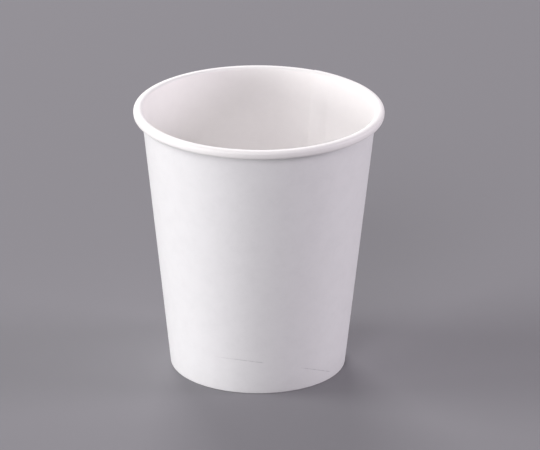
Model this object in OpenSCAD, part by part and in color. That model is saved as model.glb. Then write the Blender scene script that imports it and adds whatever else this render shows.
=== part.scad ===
// Paper cup: one sheet of coated board lapped into a cone, rolled at the rim and turned
// in at the foot, round a bottom disc with a skirt.
// The cup stands on z = 0, its axis is Z, and the near side is -Y.

/* [Cup] */
// Outer diameter over the rolled rim
rim_d = 73; // [70:0.5:76]
// Height from the standing edge to the top of the rim
cup_h = 79.5; // [74:0.5:86]
// Outer diameter of the wall at the standing edge
base_d = 51.5; // [48:0.5:54]

/* [Board] */
// Thickness of the side wall's board
wall_t = 0.3; // [0.24:0.02:0.36]
// Thickness of the bottom disc's board
disc_t = 0.3; // [0.24:0.02:0.36]

/* [Rolled rim] */
// Radius of the roll where the board turns over the top
roll_r = 1.4; // [1.3:0.05:1.7]
// How far the board is rolled round, in degrees
roll_sweep = 430; // [390:10:450]
// Free space between one turn of the roll and the next
turn_gap = 0.075; // [0.04:0.005:0.1]
// How far the doubled board is rolled round at the side seam, in degrees
seam_roll_sweep = 270; // [240:10:290]

/* [Side seam] */
// Direction of the seam's inner edge, seen from above, in degrees from +X
seam_at = 62.5; // [0:2.5:357.5]
// Width of the lap, in degrees round the cup
lap_angle = 10; // [7:0.5:13]
// How far before the lap the outer ply starts to climb, in degrees
climb_angle = 3.5; // [2.5:0.5:4.5]
// Open groove beside the inner ply's cut edge, in degrees
groove_angle = 0.5; // [0.4:0.1:0.8]

/* [Foot] */
// Height of the floor inside the cup above the standing edge
floor_h = 7.3; // [7:0.1:9]
// Height of the turned-in hem
hem_h = 5.2; // [4:0.2:6]
// Outer radius of the two corners of the fold
fold_r = 0.3; // [0.2:0.05:0.35]
// Outer radius of the bend between the floor and the skirt
bend_r = 0.6; // [0.5:0.05:0.8]
// Free height between the skirt's lower edge and the fold
fold_space = 0.4; // [0.3:0.05:0.6]
// Number of pressed flutes round the hem
flute_n = 72; // [48:4:80]
// Depth of a flute
flute_depth = 0.08; // [0.04:0.01:0.12]
// Width of a flute at the hem's face
flute_w = 0.8; // [0.5:0.05:1.1]
// Height at which the flutes start
flute_z = 0.9; // [0.7:0.1:1.5]

/* [Fit] */
// Clearance on each face of the skirt where it sits in the fold
seal_gap = 0.02; // [0.01:0.01:0.04]

/* [Hidden] */
$fn = 180;
rim_r = rim_d / 2;
base_r = base_d / 2;
// Angle step along the small arcs of a section
arc_step = 10;
// How far a cutter runs past the board that it cuts, and how far it skims clear of a face
past = 1;
skim = 0.05;
// How far the climbing end runs on inside the inner ply, in degrees
buried_angle = 1;
// The roll starts to tighten here, a quarter turn round, and tightens by one ply and its
// gap by the time that it passes under its own start
tighten_from = 90;
tighten_over = 270;

// Radius of the roll's outer face where it has turned by u degrees from straight up
function roll_radius(u) =
    roll_r - max(0, u - tighten_from) * (wall_t + turn_gap) / tighten_over;
// Furthest that the roll reaches out from its centre, and its centre and underside
roll_reach = max([for (u = [90 : arc_step : 200]) -roll_radius(u) * cos(u)]);
roll_x = rim_r - roll_reach;
roll_z = cup_h - roll_r;
roll_low = roll_z - max([for (u = [240 : arc_step : 300]) -roll_radius(u) * sin(u)]);

// The wall leans out by this much, so that its face runs on into the roll
lean = acos((roll_r - wall_t) / norm([roll_x - base_r, roll_z])) - atan2(roll_z, roll_x - base_r);

// Radii at height z of the faces of the wall, the skirt and the hem, all leaning alike.
// An offset is measured square to the board, from its inner face towards its outer face.
function wall_face(z, offset) = base_r + z * tan(lean) + (offset - wall_t) / cos(lean);
function skirt_outer(z) = wall_face(z, -seal_gap);
function skirt_inner(z) = wall_face(z, -seal_gap - disc_t);
function hem_face(z, offset) = wall_face(z, -2 * seal_gap - disc_t - offset);

function arc(center, r, from, to) =
    let (n = max(2, ceil(abs(to - from) / arc_step)))
    [for (i = [0 : n]) let (a = from + (to - from) * i / n) center + r * [cos(a), sin(a)]];

function backwards(points) = [for (i = [len(points) - 1 : -1 : 0]) points[i]];

// One face of the roll, from where it leaves the wall to its end
function roll_face(offset, sweep) =
    [for (u = concat([lean], [for (a = [arc_step : arc_step : sweep]) a]))
        let (r = roll_radius(u) - offset)
        [roll_x - r * cos(u), roll_z + r * sin(u)]];

// Section of the board between two offsets, from the hem's edge through the fold and up
// the wall to the edge inside the roll
module board_section(inner, outer, sweep) {
    hem_corner = [hem_face(fold_r, outer) + fold_r / cos(lean), fold_r];
    wall_corner = [wall_face(fold_r, outer) - fold_r / cos(lean), fold_r];
    fold_top = wall_t - inner;
    polygon(concat(
        [[hem_face(hem_h, outer), hem_h]],
        arc(hem_corner, fold_r, 180 - lean, 270),
        arc(wall_corner, fold_r, -90, -lean),
        roll_face(outer, sweep),
        backwards(roll_face(inner, sweep)),
        [[wall_face(fold_top, inner), fold_top],
         [hem_face(fold_top, inner), fold_top],
         [hem_face(hem_h, inner), hem_h]]));
}

// Section of the groove that shows the inner ply's cut edge, up the wall and over the roll
module groove_section() {
    start_z = wall_t + fold_space;
    polygon(concat(
        [[wall_face(start_z, -skim), start_z], [wall_face(start_z, wall_t), start_z]],
        roll_face(wall_t, seam_roll_sweep),
        backwards(roll_face(-skim, seam_roll_sweep))));
}

// A section carried round from one direction to another
module sector(from, to) {
    rotate([0, 0, from])
        rotate_extrude(angle = to - from)
            children();
}

// Flutes in the hem's open face between two directions, at the given offset
module flutes(from, to, offset) {
    start_r = hem_face(flute_z, offset);
    half_angle = asin(flute_w / start_r);
    for (a = [0 : 360 / flute_n : 359])
        if (a > from + half_angle && a < to - half_angle)
            rotate([0, 0, a])
                translate([start_r, 0, flute_z])
                    rotate([0, lean, 0])
                        linear_extrude(hem_h)
                            polygon([[flute_depth, 0],
                                     [-flute_depth, flute_w], [-flute_depth, -flute_w]]);
}

// What is cut off the outer ply so that it climbs from nothing to its full thickness.
// side is 1 on the wall's face and -1 on the hem's, where the ply grows inwards.
module climb_cutter(start_r, side, height) {
    full_r = start_r + side * wall_t;
    run = full_r * sin(climb_angle - groove_angle);
    tilt = atan2(full_r * cos(climb_angle - groove_angle) - start_r, run);
    depth = 3 * wall_t;
    length = 2 * run + past;
    rotate([0, 0, climb_angle])
        translate([start_r, 0, 0])
            rotate([0, lean, 0])
                rotate([0, 0, tilt])
                    translate([side > 0 ? 0 : -depth, past - length, -past])
                        cube([depth, length, height / cos(lean) + past]);
}

// The single sheet all the way round, from direction 0, where its inner edge lies
module inner_ply() {
    difference() {
        rotate_extrude()
            board_section(0, wall_t, roll_sweep);
        flutes(climb_angle, 360 - lap_angle, wall_t);
    }
}

// The end of the sheet, which climbs over its own first edge and is sealed on top of it
module outer_ply() {
    two_ply = 2 * wall_t;
    difference() {
        sector(-lap_angle, climb_angle + buried_angle)
            board_section(wall_t / 2, two_ply, seam_roll_sweep);
        climb_cutter(wall_face(0, wall_t), 1, roll_low);
        climb_cutter(hem_face(0, wall_t), -1, hem_h + past);
        rotate([0, 0, -360])
            flutes(360 - lap_angle, 360, two_ply);
    }
}

// Side wall: one sheet, with its lap turned to seam_at
module side_wall() {
    color([0.95, 0.95, 0.96])
        rotate([0, 0, seam_at])
            difference() {
                union() {
                    inner_ply();
                    outer_ply();
                }
                sector(0, groove_angle)
                    groove_section();
            }
}

// Bottom disc: flat floor with its edge bent down into the fold
module bottom_disc() {
    skirt_z = wall_t + fold_space;
    bend_z = floor_h - bend_r;
    bend = [skirt_outer(bend_z) - bend_r / cos(lean), bend_z];
    color([0.93, 0.92, 0.90])
        rotate_extrude()
            polygon(concat(
                [[0, floor_h - disc_t], [0, floor_h]],
                arc(bend, bend_r, 90, -lean),
                [[skirt_outer(skirt_z), skirt_z], [skirt_inner(skirt_z), skirt_z]],
                arc(bend, bend_r - disc_t, -lean, 90)));
}

side_wall();
bottom_disc();
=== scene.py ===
"""The look of a paper coffee cup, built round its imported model.

The side wall is one sheet of board. A Geometry Nodes tree wraps the sheet's section
round the cup's axis, laps its end over its first edge, presses flutes in the hem and
gives it the thickness of board. The same tree turns the bottom disc.
"""

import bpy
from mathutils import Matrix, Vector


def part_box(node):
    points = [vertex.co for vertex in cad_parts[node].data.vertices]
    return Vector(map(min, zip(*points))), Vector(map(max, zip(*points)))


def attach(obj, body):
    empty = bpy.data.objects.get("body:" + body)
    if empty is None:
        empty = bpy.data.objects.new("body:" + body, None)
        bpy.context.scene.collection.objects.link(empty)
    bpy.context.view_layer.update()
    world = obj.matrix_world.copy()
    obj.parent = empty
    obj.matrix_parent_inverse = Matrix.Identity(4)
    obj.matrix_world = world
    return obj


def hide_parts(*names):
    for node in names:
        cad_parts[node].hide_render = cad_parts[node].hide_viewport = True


bl_info = {
    "name": "Paper Cup",
    "version": (1, 0, 0),
    "blender": (4, 5, 0),
    "location": "3D View > Sidebar > Paper Cup",
    "description": "Builds a rolled-rim paper cup from a wrapped sheet and a pressed bottom disc",
    "category": "Add Mesh",
}

from math import acos, atan2, ceil, cos, hypot, pi, radians, sin, tan

import bpy
from bpy.props import FloatProperty, FloatVectorProperty, IntProperty, PointerProperty
from mathutils import Matrix, Vector

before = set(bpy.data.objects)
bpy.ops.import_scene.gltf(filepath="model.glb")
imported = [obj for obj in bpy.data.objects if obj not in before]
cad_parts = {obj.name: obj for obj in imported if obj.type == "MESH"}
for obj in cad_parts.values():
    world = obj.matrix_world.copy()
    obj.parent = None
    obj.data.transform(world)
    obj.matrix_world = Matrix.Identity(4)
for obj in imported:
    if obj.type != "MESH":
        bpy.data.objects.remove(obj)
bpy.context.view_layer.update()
WALL_LOW, WALL_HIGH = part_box("side_wall")
DISC_LOW, DISC_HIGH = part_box("bottom_disc")


def length(name, description, default):
    return FloatProperty(name=name, description=description, default=default,
                         min=0.0, unit="LENGTH", subtype="DISTANCE", precision=5)


def angle(name, description, default):
    return FloatProperty(name=name, description=description, default=default,
                         unit="ROTATION", subtype="ANGLE")


def color(name, description, default):
    return FloatVectorProperty(name=name, description=description, default=default,
                               size=3, min=0.0, max=1.0, subtype="COLOR")


class CupSizes(bpy.types.PropertyGroup):
    """Sizes and colours of the cup"""

    rim_diameter: length("Rim Diameter", "Outer diameter over the rolled rim",
                         WALL_HIGH.x - WALL_LOW.x)
    height: length("Height", "From the standing edge to the top of the rim", WALL_HIGH.z)
    foot_diameter: length("Foot Diameter", "Outer diameter of the wall where it stands", 0.0515)
    board: length("Board Thickness", "Thickness of the board", 0.0003)
    roll_radius: length("Roll Radius", "Radius of the roll where it turns over the top", 0.0014)
    roll_square: FloatProperty(name="Roll Squareness", description="How far the rolling tool "
                               "presses the roll towards a square", default=0.1, min=0.0, max=0.1)
    roll_sweep: angle("Roll Sweep", "How far the board is rolled round", radians(430))
    turn_gap: length("Turn Gap", "Free space between one turn of the roll and the next", 0.000075)
    seam_direction: angle("Seam Direction", "Where the sheet's first edge lies, from +X",
                          radians(62.5))
    lap: angle("Lap", "Width of the lap, round the cup", radians(10))
    climb: angle("Climb", "How far before the lap the sheet starts to climb in the foot",
                 radians(3.5))
    lap_flat: length("Lap Flat", "How far the stiff lap lies inside the round of the wall", 0.00024)
    lap_press: FloatProperty(name="Lap Press", description="Share of the board's thickness that "
                             "the seal presses out of each ply", default=0.2, min=0.0, max=0.5)
    ply_gap: length("Ply Gap", "Space between the two plies of the lap", 0.00002)
    rolled_step: length("Rolled Ply Step", "Step of the lap where the roll presses it flat", 0.0001)
    floor_height: length("Floor Height", "Height of the floor inside the cup", DISC_HIGH.z)
    skirt_height: length("Skirt Height", "Height of the disc's lower edge", DISC_LOW.z)
    bend_radius: length("Bend Radius", "Outer radius between the floor and its skirt", 0.0006)
    seal_gap: length("Seal Gap", "Clearance on each face of the skirt", 0.00002)
    hem_height: length("Hem Height", "Height of the turned-in hem", 0.0052)
    fold_radius: length("Fold Radius", "Inner radius of the two corners of the fold", 0.00006)
    flute_count: IntProperty(name="Flutes", description="Number of pressed flutes in the hem",
                             default=72, min=0)
    flute_depth: length("Flute Depth", "Height of the ribs between the flutes", 0.00014)
    flute_start: length("Flute Start", "Height at which the flutes start", 0.0009)
    board_color: color("Board Color", "Colour of the board's outer face", (0.865, 0.86, 0.86))
    film_color: color("Film Color", "Colour of the coated drink side", (0.925, 0.905, 0.89))
    edge_color: color("Edge Color", "Colour of the board where it is cut", (0.84, 0.82, 0.78))


class CupStage(bpy.types.PropertyGroup):
    """Floor, light and camera"""

    floor_color: color("Floor Color", "Colour of the floor", (0.25, 0.245, 0.26))
    backdrop_color: color("Backdrop Color", "Colour behind the floor", (0.31, 0.305, 0.33))
    ambient_color: color("Ambient Color", "Colour of the light all round", (1.0, 0.94, 1.0))
    ambient: FloatProperty(name="Ambient", description="Strength of the light all round",
                           default=0.235, min=0.0)


# ---------------------------------------------------------------- section of the board

QUARTER = pi / 2
# The roll starts to tighten a quarter turn round, and over this much more it tightens by
# one ply and its gap
TIGHTEN_TURN = 3 * QUARTER
# Up to this turn the roll's drink side is outside, in fine steps and pressed towards a square
OUTSIDE_TURN = 3 * QUARTER
# Steps along the outside of the roll, along other arcs and round the corners of the fold
ROLL_STEP = radians(6)
ARC_STEP = radians(10)
CORNER_STEP = radians(15)
# The roll reaches furthest out within this many steps from its top
REACH_STEPS = 20
# How many rows the straight parts of the sections are divided into
HEM_ROWS = 10
WALL_ROWS = 12
FLOOR_ROWS = 24
SKIRT_ROWS = 8


def lean(cup):
    """How far the wall leans out, so that its face runs on into the roll."""
    run, rise = roll_center(cup)[0] - cup.foot_diameter / 2, cup.height - cup.roll_radius
    return acos((cup.roll_radius - cup.board) / hypot(run, rise)) - atan2(rise, run)


def roll_radius(cup, turned):
    """Radius of the roll's drink side where the board has turned this far from upright."""
    past_top = max(0.0, turned - QUARTER)
    rounded = cup.roll_radius - past_top * (cup.board + cup.turn_gap) / TIGHTEN_TURN
    side_start = lean(cup) if turned < QUARTER else QUARTER * (turned // QUARTER)
    side = QUARTER - side_start % QUARTER
    corner = sin(pi * (turned - side_start) / side) ** 2 if turned < OUTSIDE_TURN else 0.0
    return rounded * (1 + cup.roll_square * corner)


def roll_center(cup):
    """Centre of the roll, whose outer side touches the rim's diameter."""
    turns = [QUARTER + ROLL_STEP * i for i in range(REACH_STEPS)]
    reach = max(-roll_radius(cup, u) * cos(u) for u in turns)
    return cup.rim_diameter / 2 - reach, cup.height - cup.roll_radius


def wall_face(cup, z, offset):
    """Radius at height z of a face of the wall. The offset runs from its drink side out."""
    return cup.foot_diameter / 2 + z * tan(lean(cup)) + (offset - cup.board) / cos(lean(cup))


def arc(center, radius, start, end, step):
    """Points of an arc with both its ends, in even steps no longer than the given one."""
    count = max(2, ceil(abs(end - start) / step))
    turns = [start + (end - start) * i / count for i in range(count + 1)]
    return [(center[0] + radius * cos(u), center[1] + radius * sin(u)) for u in turns]


def between(start, end, count):
    """The points that divide a straight line, without its ends."""
    return [tuple(a + (b - a) * i / count for a, b in zip(start, end)) for i in range(1, count)]


def wall_section(cup):
    """Drink side of the sheet: down the hem, round the fold, up the wall and round the roll."""
    tilt, corner_z = lean(cup), cup.fold_radius + cup.board
    hem_offset = -2 * cup.seal_gap - cup.board
    hem_top = (wall_face(cup, cup.hem_height, hem_offset), cup.hem_height)
    hem_corner = (wall_face(cup, corner_z, hem_offset) + cup.fold_radius / cos(tilt), corner_z)
    wall_corner = (wall_face(cup, corner_z, 0) - cup.fold_radius / cos(tilt), corner_z)
    hem_arc = arc(hem_corner, cup.fold_radius, pi - tilt, 3 * QUARTER, CORNER_STEP)
    wall_arc = arc(wall_corner, cup.fold_radius, -QUARTER, -tilt, CORNER_STEP)
    outside = range(ceil(tilt / ROLL_STEP), round(OUTSIDE_TURN / ROLL_STEP) + 1)
    hidden = range(round(OUTSIDE_TURN / ARC_STEP) + 1, round(cup.roll_sweep / ARC_STEP) + 1)
    turns = [tilt] + [ROLL_STEP * i for i in outside] + [ARC_STEP * i for i in hidden]
    roll_x, roll_z = roll_center(cup)
    roll = [(roll_x - roll_radius(cup, u) * cos(u), roll_z + roll_radius(cup, u) * sin(u))
            for u in turns]
    return ([hem_top] + between(hem_top, hem_arc[0], HEM_ROWS) + hem_arc + wall_arc
            + between(wall_arc[-1], roll[0], WALL_ROWS) + roll)


def disc_section(cup):
    """Upper side of the bottom disc: from its middle, over the bend and down the skirt."""
    tilt, bend_z = lean(cup), cup.floor_height - cup.bend_radius
    bend = (wall_face(cup, bend_z, -cup.seal_gap) - cup.bend_radius / cos(tilt), bend_z)
    bend_arc = arc(bend, cup.bend_radius, QUARTER, -tilt, ARC_STEP)
    middle = (0.0, cup.floor_height)
    low = (wall_face(cup, cup.skirt_height, -cup.seal_gap), cup.skirt_height)
    return ([middle] + between(middle, bend_arc[0], FLOOR_ROWS) + bend_arc
            + between(bend_arc[-1], low, SKIRT_ROWS) + [low])


# ---------------------------------------------------------------- node helpers


def put(tree, kind, inputs=None, **settings):
    """Adds a node, sets it and links or fills its inputs by name or number."""
    node = tree.nodes.new(kind)
    for key, value in settings.items():
        setattr(node, key, value)
    for key, value in (inputs or {}).items():
        if isinstance(value, bpy.types.NodeSocket):
            tree.links.new(value, node.inputs[key])
        else:
            node.inputs[key].default_value = value
    return node


def calc(tree, operation, *values):
    return put(tree, "ShaderNodeMath", dict(enumerate(values)), operation=operation).outputs[0]


def vector_calc(tree, operation, *values):
    inputs = dict(enumerate(values))
    return put(tree, "ShaderNodeVectorMath", inputs, operation=operation).outputs[0]


def times(tree, first, second):
    return calc(tree, "MULTIPLY", first, second)


def minus(tree, first, second):
    return calc(tree, "SUBTRACT", first, second)


def smooth_step(tree, value, start, end, low=0.0, high=1.0):
    names = {"Value": value, "From Min": start, "From Max": end, "To Min": low, "To Max": high}
    return put(tree, "ShaderNodeMapRange", names, interpolation_type="SMOOTHSTEP").outputs[0]


def parts_of(tree, vector):
    return put(tree, "ShaderNodeSeparateXYZ", {0: vector}).outputs


def vector_of(tree, x, y, z):
    return put(tree, "ShaderNodeCombineXYZ", {"X": x, "Y": y, "Z": z}).outputs[0]


def rgba(tone):
    return (*tone, 1.0)


# ---------------------------------------------------------------- the wrapped board

# Columns of the wall round the cup, finer ones over this turn at the lap, and the disc's
BODY_COLUMNS = 346
LAP_COLUMNS = 120
LAP_TURN = radians(24)
DISC_COLUMNS = 241
# Points that lie closer than this are one
MERGE_DISTANCE = 1e-6
# The least width that a lap is divided by, and the slack that counts in its last column
LEAST_LAP = 1e-6
LAP_SLACK = 1e-4
# Shares of the height of the roll's underside: the lap's step eases from the first, and
# its flat ends between the other two
STEP_EASES = 0.97
FLAT_ENDS = (0.98, 1.02)
# The board faces the axis where its way out has less than this along the radius
FACES_AXIS = -0.5
# The ribs are full at the first multiple of the flutes' start. The second keeps them off
# the roll, which faces the axis too.
RIBS_FULL = 1.6
RIBS_BELOW = 10.0
# A rib rises between these values of a wave round the cup
RIB_WAVE = (-0.5, 0.8)
# Faces that meet at more than this angle show an edge
SHARP_ANGLE = radians(40)

WRAP_INPUTS = (
    ("Section", "NodeSocketGeometry"), ("Turn", "NodeSocketFloat"),
    ("Even Columns", "NodeSocketInt"), ("Fine Columns", "NodeSocketInt"),
    ("Fine Turn", "NodeSocketFloat"), ("Start Direction", "NodeSocketFloat"),
    ("Lap", "NodeSocketFloat"), ("Climb", "NodeSocketFloat"), ("Slope", "NodeSocketFloat"),
    ("Ply Step", "NodeSocketFloat"), ("Rolled Ply Step", "NodeSocketFloat"),
    ("Roll Height", "NodeSocketFloat"), ("Lap Flat", "NodeSocketFloat"),
    ("Flat Start", "NodeSocketFloat"), ("Lap Press", "NodeSocketFloat"),
    ("Thickness", "NodeSocketFloat"), ("Flutes", "NodeSocketInt"),
    ("Flute Depth", "NodeSocketFloat"), ("Flute Start", "NodeSocketFloat"),
    ("Drink Side", "NodeSocketMaterial"), ("Outer Face", "NodeSocketMaterial"),
    ("Cut Edge", "NodeSocketMaterial"),
)


def section_grid(tree, given):
    """A flat grid, one row for each point of the section, and its points' rows and columns."""
    rows = put(tree, "GeometryNodeAttributeDomainSize",
               {"Geometry": given["Section"]}).outputs["Point Count"]
    last_row = minus(tree, rows, 1.0)
    last_column = calc(tree, "ADD", given["Even Columns"], given["Fine Columns"])
    grid = put(tree, "GeometryNodeMeshGrid", {
        "Size X": 1.0, "Size Y": 1.0, "Vertices X": calc(tree, "ADD", last_column, 1.0),
        "Vertices Y": rows}).outputs["Mesh"]
    place = parts_of(tree, put(tree, "GeometryNodeInputPosition").outputs[0])
    row, column = (calc(tree, "ROUND", times(tree, calc(tree, "ADD", at, 0.5), last))
                   for at, last in ((place["Y"], last_row), (place["X"], last_column)))
    return grid, row, column


def turn_of_column(tree, given, column):
    """How far round each column is, with finer columns over the lap."""
    even, fine = given["Even Columns"], given["Fine Columns"]
    even_part = calc(tree, "DIVIDE", calc(tree, "MINIMUM", column, even), even)
    fine_part = calc(tree, "DIVIDE", calc(tree, "MAXIMUM", minus(tree, column, even), 0.0), fine)
    even_turn = minus(tree, given["Turn"], given["Fine Turn"])
    return calc(tree, "ADD", times(tree, even_part, even_turn),
                times(tree, fine_part, given["Fine Turn"]))


def section_point(tree, given, row):
    """The section's point in each row."""
    return put(tree, "GeometryNodeSampleIndex", {
        "Geometry": given["Section"], "Value": put(tree, "GeometryNodeInputPosition").outputs[0],
        "Index": row}, data_type="FLOAT_VECTOR", clamp=True).outputs["Value"]


def way_out(tree, given, row):
    """The way out of the board in each row of the section: its parts along the radius and Z."""
    ahead = section_point(tree, given, calc(tree, "ADD", row, 1.0))
    behind = section_point(tree, given, minus(tree, row, 1.0))
    along = vector_calc(tree, "NORMALIZE", vector_calc(tree, "SUBTRACT", ahead, behind))
    along = parts_of(tree, along)
    return along["Z"], times(tree, along["X"], -1.0)


def lap_shape(tree, given, turned, height):
    """How far the lap moves the board out and in, and how thick the board is there."""
    # How far each column lies past the sheet's first edge, below zero where the end comes up to it
    is_end = calc(tree, "GREATER_THAN", turned, pi)
    in_lap = minus(tree, turned, times(tree, is_end, 2 * pi))
    climb_start = times(tree, given["Climb"], -1.0)
    high_up = smooth_step(tree, height, given["Flat Start"], times(tree, given["Flat Start"], 2.0))

    # Low down the sheet's end climbs over the first edge. Higher up the first edge is pressed in
    # instead, and both plies come back to the round of the wall past the lap.
    climbed = times(tree, is_end, smooth_step(tree, in_lap, climb_start, 0.0))
    pressed_in = smooth_step(tree, in_lap, 0.0, times(tree, given["Lap"], 2.0), 1.0, 0.0)
    plies_out = put(tree, "ShaderNodeMix", {
        "Factor": high_up, "A": climbed, "B": minus(tree, is_end, pressed_in)},
        data_type="FLOAT").outputs["Result"]
    ply_step = smooth_step(tree, height, times(tree, given["Roll Height"], STEP_EASES),
                           given["Roll Height"], given["Ply Step"], given["Rolled Ply Step"])
    offset = times(tree, ply_step, plies_out)

    # The stiff double board of the lap lies flat across the round of the wall, up to the roll
    width = calc(tree, "MAXIMUM", given["Lap"], LEAST_LAP)
    across = minus(tree, calc(tree, "DIVIDE", times(tree, in_lap, 2.0), width), 1.0)
    bow = calc(tree, "MAXIMUM", minus(tree, 1.0, times(tree, across, across)), 0.0)
    flat_top, flat_gone = (times(tree, given["Roll Height"], share) for share in FLAT_ENDS)
    below_roll = smooth_step(tree, height, flat_top, flat_gone, 1.0, 0.0)
    flattening = times(tree, times(tree, bow, high_up), times(tree, below_roll, given["Lap Flat"]))

    # The seal presses both plies thinner
    in_seal = calc(tree, "LESS_THAN", in_lap, calc(tree, "ADD", given["Lap"], LAP_SLACK))
    pressed = smooth_step(tree, in_lap, climb_start, 0.0, 0.0, given["Lap Press"])
    pressed = times(tree, pressed, in_seal)
    thickness = times(tree, given["Thickness"], minus(tree, 1.0, pressed))
    return offset, flattening, thickness


def hem_rib(tree, given, direction, out_r, height):
    """How far the ribs between the flutes stand up on the hem, where it faces the axis."""
    start = given["Flute Start"]
    on_hem = calc(tree, "LESS_THAN", out_r, FACES_AXIS)
    low_down = calc(tree, "LESS_THAN", height, times(tree, start, RIBS_BELOW))
    above_fold = smooth_step(tree, height, start, times(tree, start, RIBS_FULL))
    wave = calc(tree, "COSINE", times(tree, direction, given["Flutes"]))
    rib = times(tree, smooth_step(tree, wave, *RIB_WAVE), given["Flute Depth"])
    return times(tree, rib, times(tree, times(tree, on_hem, low_down), above_fold))


def lowest_level(tree, given, turned):
    """How low the drink side may lie: the board's thickness, and a ply more under the lap."""
    under_lap = smooth_step(tree, turned, given["Lap"], times(tree, given["Lap"], 2.0), 1.0, 0.0)
    return calc(tree, "MULTIPLY_ADD", under_lap, given["Ply Step"], given["Thickness"])


def thick_board(tree, given, drink_side, thickness):
    """Adds the outer face and the cut edges to the drink side, along the stored way out."""
    outward = put(tree, "GeometryNodeInputNamedAttribute", {"Name": "outward"},
                  data_type="FLOAT_VECTOR").outputs[0]
    thick = put(tree, "GeometryNodeExtrudeMesh", {
        "Mesh": drink_side, "Offset": outward, "Offset Scale": thickness, "Individual": False})
    outer_face = put(tree, "GeometryNodeFlipFaces", {0: thick.outputs["Mesh"]}).outputs[0]
    joined = put(tree, "GeometryNodeJoinGeometry")
    for part in (drink_side, outer_face):
        tree.links.new(part, joined.inputs[0])
    closed = put(tree, "GeometryNodeMergeByDistance", {
        "Geometry": joined.outputs[0], "Distance": MERGE_DISTANCE}).outputs[0]
    smooth = put(tree, "GeometryNodeSetShadeSmooth", {"Geometry": closed}).outputs[0]
    board = put(tree, "GeometryNodeRealizeInstances", {"Geometry": smooth}).outputs[0]
    board = put(tree, "GeometryNodeSetMaterial", {
        "Geometry": board, "Material": given["Drink Side"]}).outputs[0]
    for part, finish in (("Top", "Outer Face"), ("Side", "Cut Edge")):
        board = put(tree, "GeometryNodeSetMaterial", {
            "Geometry": board, "Selection": thick.outputs[part],
            "Material": given[finish]}).outputs[0]
    return board


def board_wrap_tree():
    """Wraps a section of board clockwise round Z, one turn or a little more."""
    tree = bpy.data.node_groups.new("Board Wrap", "GeometryNodeTree")
    for name, kind in WRAP_INPUTS:
        tree.interface.new_socket(name=name, in_out="INPUT", socket_type=kind)
    tree.interface.new_socket(name="Board", in_out="OUTPUT", socket_type="NodeSocketGeometry")
    given = put(tree, "NodeGroupInput").outputs

    grid, row, column = section_grid(tree, given)
    turned = turn_of_column(tree, given, column)
    direction = minus(tree, given["Start Direction"], turned)
    point = parts_of(tree, section_point(tree, given, row))
    out_r, out_z = way_out(tree, given, row)
    lap_offset, flattening, thickness = lap_shape(tree, given, turned, point["Z"])
    rib = hem_rib(tree, given, direction, out_r, point["Z"])

    # The first edge is lifted in the fold, so that both plies of the lap stand on the floor,
    # and its points follow the lean of the wall
    offset = calc(tree, "ADD", lap_offset, rib)
    free_level = calc(tree, "MULTIPLY_ADD", out_z, offset, point["Z"])
    level = calc(tree, "MAXIMUM", free_level, lowest_level(tree, given, turned))
    lifted = minus(tree, level, free_level)
    radius = minus(tree, calc(tree, "MULTIPLY_ADD", out_r, offset, point["X"]), flattening)
    radius = calc(tree, "MULTIPLY_ADD", lifted, given["Slope"], radius)
    cosine, sine = calc(tree, "COSINE", direction), calc(tree, "SINE", direction)
    wrapped_at = vector_of(tree, times(tree, radius, cosine), times(tree, radius, sine), level)
    outward = vector_of(tree, times(tree, out_r, cosine), times(tree, out_r, sine), out_z)

    # The way out is kept before the grid is moved
    kept = put(tree, "GeometryNodeStoreNamedAttribute", {
        "Geometry": grid, "Name": "outward", "Value": outward},
        data_type="FLOAT_VECTOR", domain="POINT").outputs[0]
    drink_side = put(tree, "GeometryNodeSetPosition", {
        "Geometry": kept, "Position": wrapped_at}).outputs[0]
    drink_side = put(tree, "GeometryNodeMergeByDistance", {
        "Geometry": drink_side, "Distance": MERGE_DISTANCE}).outputs[0]
    put(tree, "NodeGroupOutput", {"Board": thick_board(tree, given, drink_side, thickness)})
    return tree


def wrap_board(name, section, inputs):
    """Runs the tree on a section and keeps its result as a plain mesh."""
    line = bpy.data.meshes.new(name + "_section")
    line.from_pydata([(r, 0.0, z) for r, z in section],
                     [(i, i + 1) for i in range(len(section) - 1)], [])
    tree = bpy.data.node_groups.get("Board Wrap") or board_wrap_tree()
    piece = bpy.data.objects.new(name, line)
    bpy.context.scene.collection.objects.link(piece)
    wrap = piece.modifiers.new("Board Wrap", "NODES")
    wrap.node_group = tree
    sockets = {s.name: s.identifier for s in tree.interface.items_tree if s.in_out == "INPUT"}
    for key, value in inputs.items():
        wrap[sockets[key]] = value
    evaluated = piece.evaluated_get(bpy.context.evaluated_depsgraph_get())
    mesh = bpy.data.meshes.new_from_object(evaluated)
    mesh.name = name
    piece.modifiers.remove(wrap)
    piece.data = mesh
    bpy.data.meshes.remove(line)
    mesh.attributes.remove(mesh.attributes["outward"])
    # The first slot is the bare section's and stays empty
    mesh.materials.pop(index=0)
    mesh.set_sharp_from_angle(angle=SHARP_ANGLE)
    return piece


# ---------------------------------------------------------------- finishes

# Shade of the clouds, least roughness and its spread, depth of the bump in metres, and
# scales of the clouds and of the fibres
BOARD_FINISHES = {
    "board_film": (0.975, 0.48, 0.12, 0.000012, 220.0, 1400.0),
    "board_outer": (0.96, 0.44, 0.12, 0.000015, 200.0, 1600.0),
    "board_cut": (0.93, 0.8, 0.1, 0.00003, 500.0, 5000.0),
}
# Values of the cloud noise between which the tone goes to its shade
CLOUD_RANGE = (0.35, 0.75)
# The fibres are drawn out along Z. Ripples are coarser by this scale, and both share the bump.
FIBRE_STRETCH = (1.0, 1.0, 0.45)
RIPPLE_SCALE = 0.12
RIPPLE_SHARE = 0.6
FIBRE_SHARE = 0.4

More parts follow.
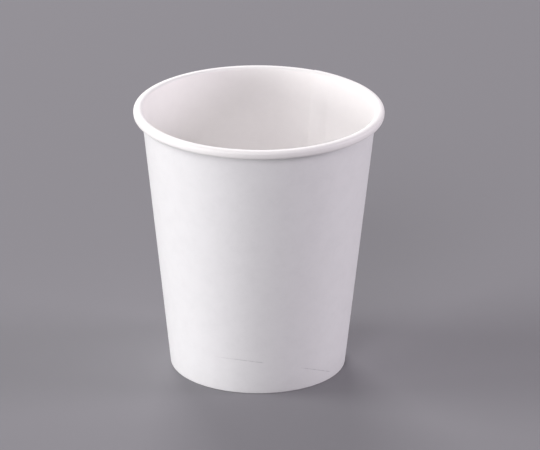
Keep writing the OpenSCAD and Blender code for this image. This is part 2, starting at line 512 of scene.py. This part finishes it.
# The plane of the creases on the near side, and where each rises, is full and ends along X
CREASE_PLANE = (0.12576, 0.39447, 0.91026)
CREASE_OFFSET = -0.0010558
CREASE_WIDTH = 0.00022
CREASE_SPANS = ((-0.0145, -0.004, 0.0021), (0.0118, 0.0145, 0.0215))
# A crease fades out over this length. Noise of this scale breaks it up: between these
# values it goes from its least share to the whole.
CREASE_FADE = 0.001
CREASE_NOISE = 900.0
CREASE_NOISE_RANGE = (0.3, 0.6)
CREASE_LEAST = 0.35
# Tone and strength of the painted shade along a crease, and the crease's depth as a multiple of the
# board's own bump
CREASE_PAINTED_SHADE_TONE = (0.35, 0.34, 0.36)
CREASE_PAINTED_SHADE_STRENGTH = 0.4
CREASE_DEPTH = -2.0


def board_grain_group():
    """Cloudy formation and fine fibres of board, over Object coordinates."""
    found = bpy.data.node_groups.get("Board Grain")
    if found:
        return found
    tree = bpy.data.node_groups.new("Board Grain", "ShaderNodeTree")
    for name in ("Cloud Scale", "Fibre Scale"):
        tree.interface.new_socket(name=name, in_out="INPUT", socket_type="NodeSocketFloat")
    for name in ("Cloud", "Height"):
        tree.interface.new_socket(name=name, in_out="OUTPUT", socket_type="NodeSocketFloat")
    given = put(tree, "NodeGroupInput").outputs
    at = put(tree, "ShaderNodeTexCoord").outputs["Object"]
    cloud = put(tree, "ShaderNodeTexNoise", {
        "Vector": at, "Scale": given["Cloud Scale"], "Detail": 7.0, "Roughness": 0.8}).outputs[0]
    stretched = put(tree, "ShaderNodeMapping", {"Vector": at, "Scale": FIBRE_STRETCH}).outputs[0]
    fibre = put(tree, "ShaderNodeTexNoise", {
        "Vector": stretched, "Scale": given["Fibre Scale"], "Detail": 3.0, "Roughness": 0.6,
        "Distortion": 0.4}).outputs[0]
    ripple = put(tree, "ShaderNodeTexNoise", {
        "Vector": stretched, "Scale": times(tree, given["Fibre Scale"], RIPPLE_SCALE),
        "Detail": 2.0}).outputs[0]
    height = calc(tree, "MULTIPLY_ADD", ripple, RIPPLE_SHARE, times(tree, fibre, FIBRE_SHARE))
    put(tree, "NodeGroupOutput", {"Cloud": cloud, "Height": height})
    return tree


def crease_group():
    """A faint crease where a plane cuts the near side of the wall, between two places along X. Its
    mark gives a groove in the bump and painted shade in the colour.
    """
    tree = bpy.data.node_groups.new("Crease Groove And Painted Shade", "ShaderNodeTree")
    tree.interface.new_socket(name="Plane", in_out="INPUT", socket_type="NodeSocketVector")
    for name in ("Offset", "Width", "Start", "Full", "End"):
        tree.interface.new_socket(name=name, in_out="INPUT", socket_type="NodeSocketFloat")
    tree.interface.new_socket(name="Mark", in_out="OUTPUT", socket_type="NodeSocketFloat")
    given = put(tree, "NodeGroupInput").outputs
    at = put(tree, "ShaderNodeTexCoord").outputs["Object"]
    place = parts_of(tree, at)
    along = put(tree, "ShaderNodeVectorMath", {0: at, 1: given["Plane"]},
                operation="DOT_PRODUCT").outputs["Value"]
    off_plane = calc(tree, "ABSOLUTE", minus(tree, along, given["Offset"]))
    line = smooth_step(tree, off_plane, 0.0, given["Width"], 1.0, 0.0)
    rises = smooth_step(tree, place["X"], given["Start"], given["Full"])
    ends = smooth_step(tree, place["X"], minus(tree, given["End"], CREASE_FADE), given["End"],
                       1.0, 0.0)
    noise = put(tree, "ShaderNodeTexNoise", {
        "Vector": at, "Scale": CREASE_NOISE, "Detail": 2.0}).outputs[0]
    broken = smooth_step(tree, noise, *CREASE_NOISE_RANGE, CREASE_LEAST, 1.0)
    near = calc(tree, "LESS_THAN", place["Y"], 0.0)
    mark = times(tree, times(tree, line, near), times(tree, times(tree, rises, ends), broken))
    put(tree, "NodeGroupOutput", {"Mark": mark})
    return tree


def add_creases(material):
    """Marks the board's outer face with two faint creases low on the near side: a groove in its
    bump, and painted shade that darkens its colour along each.
    """
    tree = material.node_tree
    creases = crease_group()
    marks = []
    for start, full, end in CREASE_SPANS:
        marks.append(put(tree, "ShaderNodeGroup", {
            "Plane": CREASE_PLANE, "Offset": CREASE_OFFSET, "Width": CREASE_WIDTH,
            "Start": start, "Full": full, "End": end}, node_tree=creases).outputs[0])
    mark = calc(tree, "MAXIMUM", *marks)
    base = tree.nodes["Principled BSDF"].inputs["Base Color"]
    height = tree.nodes["Bump"].inputs["Height"]
    tone, grain = base.links[0].from_socket, height.links[0].from_socket
    # Painted shade: the colour is darkened along the crease, standing in for the shade in its
    # groove
    painted_shade = put(tree, "ShaderNodeMix", {
        "Factor": times(tree, mark, CREASE_PAINTED_SHADE_STRENGTH), "A": tone, "B": rgba(CREASE_PAINTED_SHADE_TONE)},
        data_type="RGBA")
    tree.links.new(painted_shade.outputs["Result"], base)
    tree.links.new(calc(tree, "MULTIPLY_ADD", mark, CREASE_DEPTH, grain), height)


def board_material(name, base, shade, rough, rough_spread, bump, cloud_scale, fibre_scale):
    """Board with a cloudy tone, a soft uneven gloss and a fine fibre bump."""
    material = bpy.data.materials.new(name)
    material.use_nodes = True
    tree = material.node_tree
    tree.nodes.clear()
    grain = put(tree, "ShaderNodeGroup", {
        "Cloud Scale": cloud_scale, "Fibre Scale": fibre_scale}, node_tree=board_grain_group())
    tone = put(tree, "ShaderNodeMix", {
        "Factor": smooth_step(tree, grain.outputs["Cloud"], *CLOUD_RANGE),
        "A": rgba(base), "B": rgba(c * shade for c in base)}, data_type="RGBA")
    rough_at = calc(tree, "MULTIPLY_ADD", grain.outputs["Cloud"], rough_spread, rough)
    lift = put(tree, "ShaderNodeBump", {
        "Height": grain.outputs["Height"], "Strength": 1.0, "Distance": bump})
    finish = put(tree, "ShaderNodeBsdfPrincipled", {
        "Base Color": tone.outputs["Result"], "Roughness": rough_at, "Normal": lift.outputs[0],
        "IOR": 1.5})
    put(tree, "ShaderNodeOutputMaterial", {"Surface": finish.outputs[0]})
    return material


def cup_materials(cup):
    """The finishes of the drink side, the outer face and the cut edges, made once."""
    if "board_film" not in bpy.data.materials:
        tones = (cup.film_color, cup.board_color, cup.edge_color)
        for (name, finish), tone in zip(BOARD_FINISHES.items(), tones):
            board_material(name, tone, *finish)
        add_creases(bpy.data.materials["board_outer"])
    return [bpy.data.materials[name] for name in BOARD_FINISHES]


# ---------------------------------------------------------------- the pieces


class CUP_OT_side_wall(bpy.types.Operator):
    """Wraps, laps, rolls and hems the sheet of the side wall"""

    bl_idname = "cup.side_wall"
    bl_label = "Side Wall"

    def execute(self, context):
        cup = context.scene.cup_sizes
        film, outer, cut = cup_materials(cup)
        piece = wrap_board("cup_side_wall", wall_section(cup), {
            "Turn": 2 * pi + cup.lap, "Even Columns": BODY_COLUMNS, "Fine Columns": LAP_COLUMNS,
            "Fine Turn": LAP_TURN, "Start Direction": cup.seam_direction, "Lap": cup.lap,
            "Climb": cup.climb, "Slope": tan(lean(cup)),
            "Ply Step": cup.board * (1 - cup.lap_press) + cup.ply_gap,
            "Rolled Ply Step": cup.rolled_step, "Roll Height": cup.height - 2 * cup.roll_radius,
            "Lap Flat": cup.lap_flat, "Flat Start": 2 * cup.floor_height,
            "Lap Press": cup.lap_press, "Thickness": cup.board, "Flutes": cup.flute_count,
            "Flute Depth": cup.flute_depth, "Flute Start": cup.flute_start,
            "Drink Side": film, "Outer Face": outer, "Cut Edge": cut})
        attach(piece, "root")
        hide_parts("side_wall")
        return {"FINISHED"}


class CUP_OT_bottom_disc(bpy.types.Operator):
    """Presses the bottom disc and its skirt"""

    bl_idname = "cup.bottom_disc"
    bl_label = "Bottom Disc"

    def execute(self, context):
        cup = context.scene.cup_sizes
        film, outer, cut = cup_materials(cup)
        # The disc has neither lap nor flutes, so their sizes stay at zero, and the heights
        # where a lap changes lie far above it
        piece = wrap_board("cup_bottom_disc", disc_section(cup), {
            "Turn": 2 * pi, "Even Columns": DISC_COLUMNS - 1, "Fine Columns": 1,
            "Fine Turn": 2 * pi / DISC_COLUMNS, "Roll Height": 1.0, "Flat Start": 1.0,
            "Thickness": cup.board, "Flute Start": cup.flute_start,
            "Drink Side": film, "Outer Face": outer, "Cut Edge": cut})
        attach(piece, "root")
        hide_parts("bottom_disc")
        return {"FINISHED"}


# ---------------------------------------------------------------- the stage

LAMP_SIZE = 0.9
LAMP_DISTANCE = 2.0
# Name, azimuth, elevation, watts and tint of each soft lamp
LAMPS = (
    ("side_key", -66, 0, 36.3, (1.0, 1.0, 1.0)),
    ("upper_key", -90, 35, 16.0, (1.0, 1.0, 1.0)),
    ("front_fill", -14, 35, 10.9, (0.98, 0.94, 1.0)),
    ("right_fill", 90, 14, 20.8, (0.98, 0.92, 1.0)),
    ("back_light", -170, 30, 20.5, (1.0, 0.98, 1.0)),
)

CAMERA_PLACE = (0.0, -1.3427623245, 0.5807298450)
CAMERA_AIM = (0.0, 0.0, 0.040)
# The view's middle is off the aim by these slopes, and the picture is turned a little
CAMERA_SLOPE_X = 0.002341172078
CAMERA_SLOPE_Y = 0.001715355882
CAMERA_ROLL = 0.00526003993
CAMERA_LENS = 328.975

# Half the length of the floor's sides
FLOOR_HALF = 12.0


def soft_lamp(name, azimuth, elevation, energy, tint):
    """A round soft lamp that shines at the cup. Azimuth 0 is the camera's side, 90 the right."""
    lamp = bpy.data.lights.new(name, "AREA")
    lamp.shape = "DISK"
    lamp.size = LAMP_SIZE
    lamp.energy = energy
    lamp.color = tint
    side, height = radians(azimuth), radians(elevation)
    back = Vector((sin(side) * cos(height), -cos(side) * cos(height), sin(height)))
    holder = bpy.data.objects.new(name, lamp)
    holder.matrix_world = Matrix.LocRotScale(
        Vector(CAMERA_AIM) + LAMP_DISTANCE * back, back.to_track_quat("Z", "Y"), None)
    bpy.context.scene.collection.objects.link(holder)


def photo_camera():
    """The camera of the photograph, as its fit to the cup's outline gives it."""
    place = Vector(CAMERA_PLACE)
    ahead = (Vector(CAMERA_AIM) - place).normalized()
    right = Vector((1.0, 0.0, 0.0))
    ahead = (ahead + CAMERA_SLOPE_X * right + CAMERA_SLOPE_Y * right.cross(ahead)).normalized()
    right = ahead.cross(Vector((0.0, 0.0, 1.0))).normalized()
    up = right.cross(ahead)
    right, up = (cos(CAMERA_ROLL) * right + sin(CAMERA_ROLL) * up,
                 cos(CAMERA_ROLL) * up - sin(CAMERA_ROLL) * right)
    turn = Matrix((right, up, -ahead)).transposed().to_4x4()
    data = bpy.data.cameras.new("camera")
    data.lens = CAMERA_LENS
    data.sensor_width = 36.0
    data.sensor_fit = "HORIZONTAL"
    data.clip_start = 0.05
    data.clip_end = 50.0
    camera = bpy.data.objects.new("camera", data)
    camera.matrix_world = Matrix.Translation(place) @ turn
    bpy.context.scene.collection.objects.link(camera)
    bpy.context.scene.camera = camera


def studio_world(stage):
    """Even light from all round, and a plain backdrop for the camera and for reflections."""
    world = bpy.data.worlds.new("studio")
    bpy.context.scene.world = world
    world.use_nodes = True
    tree = world.node_tree
    tree.nodes.clear()
    ray = put(tree, "ShaderNodeLightPath").outputs
    seen = calc(tree, "MAXIMUM", ray["Is Camera Ray"], calc(
        tree, "MAXIMUM", ray["Is Glossy Ray"], ray["Is Transmission Ray"]))
    ambient = put(tree, "ShaderNodeBackground", {
        "Color": rgba(stage.ambient_color), "Strength": stage.ambient}).outputs[0]
    backdrop = put(tree, "ShaderNodeBackground", {
        "Color": rgba(stage.backdrop_color), "Strength": 1.0}).outputs[0]
    mixed = put(tree, "ShaderNodeMixShader", {0: seen, 1: ambient, 2: backdrop}).outputs[0]
    put(tree, "ShaderNodeOutputWorld", {"Surface": mixed})


def studio_floor(stage):
    """A plain matt floor under the cup."""
    corners = ((-1, -1), (1, -1), (1, 1), (-1, 1))
    mesh = bpy.data.meshes.new("floor")
    mesh.from_pydata([(FLOOR_HALF * x, FLOOR_HALF * y, 0.0) for x, y in corners],
                     [], [(0, 1, 2, 3)])
    material = bpy.data.materials.new("floor_paper")
    material.use_nodes = True
    tree = material.node_tree
    tree.nodes.clear()
    finish = put(tree, "ShaderNodeBsdfPrincipled", {
        "Base Color": rgba(stage.floor_color), "Roughness": 0.95, "Specular IOR Level": 0.2})
    put(tree, "ShaderNodeOutputMaterial", {"Surface": finish.outputs[0]})
    mesh.materials.append(material)
    floor = bpy.data.objects.new("floor", mesh)
    bpy.context.scene.collection.objects.link(floor)


class CUP_OT_stage(bpy.types.Operator):
    """Sets the floor, the soft light and the camera"""

    bl_idname = "cup.stage"
    bl_label = "Stage"

    def execute(self, context):
        stage = context.scene.cup_stage
        context.scene.view_settings.view_transform = "Standard"
        photo_camera()
        studio_world(stage)
        studio_floor(stage)
        for lamp in LAMPS:
            soft_lamp(*lamp)
        return {"FINISHED"}


# ---------------------------------------------------------------- the add-on


class CUP_PT_sidebar(bpy.types.Panel):
    bl_label = "Paper Cup"
    bl_space_type = "VIEW_3D"
    bl_region_type = "UI"
    bl_category = "Paper Cup"

    def draw(self, context):
        layout = self.layout
        for group in (context.scene.cup_sizes, context.scene.cup_stage):
            box = layout.box()
            for name in group.__annotations__:
                box.prop(group, name)
        for operator in OPERATORS:
            layout.operator(operator.bl_idname)


OPERATORS = (CUP_OT_stage, CUP_OT_side_wall, CUP_OT_bottom_disc)
CLASSES = (CupSizes, CupStage, *OPERATORS, CUP_PT_sidebar)


def register():
    for each in CLASSES:
        bpy.utils.register_class(each)
    bpy.types.Scene.cup_sizes = PointerProperty(type=CupSizes)
    bpy.types.Scene.cup_stage = PointerProperty(type=CupStage)


def unregister():
    del bpy.types.Scene.cup_stage
    del bpy.types.Scene.cup_sizes
    for each in reversed(CLASSES):
        bpy.utils.unregister_class(each)


def main():
    register()
    bpy.ops.cup.stage()
    bpy.ops.cup.side_wall()
    bpy.ops.cup.bottom_disc()


if __name__ == "__main__":
    main()
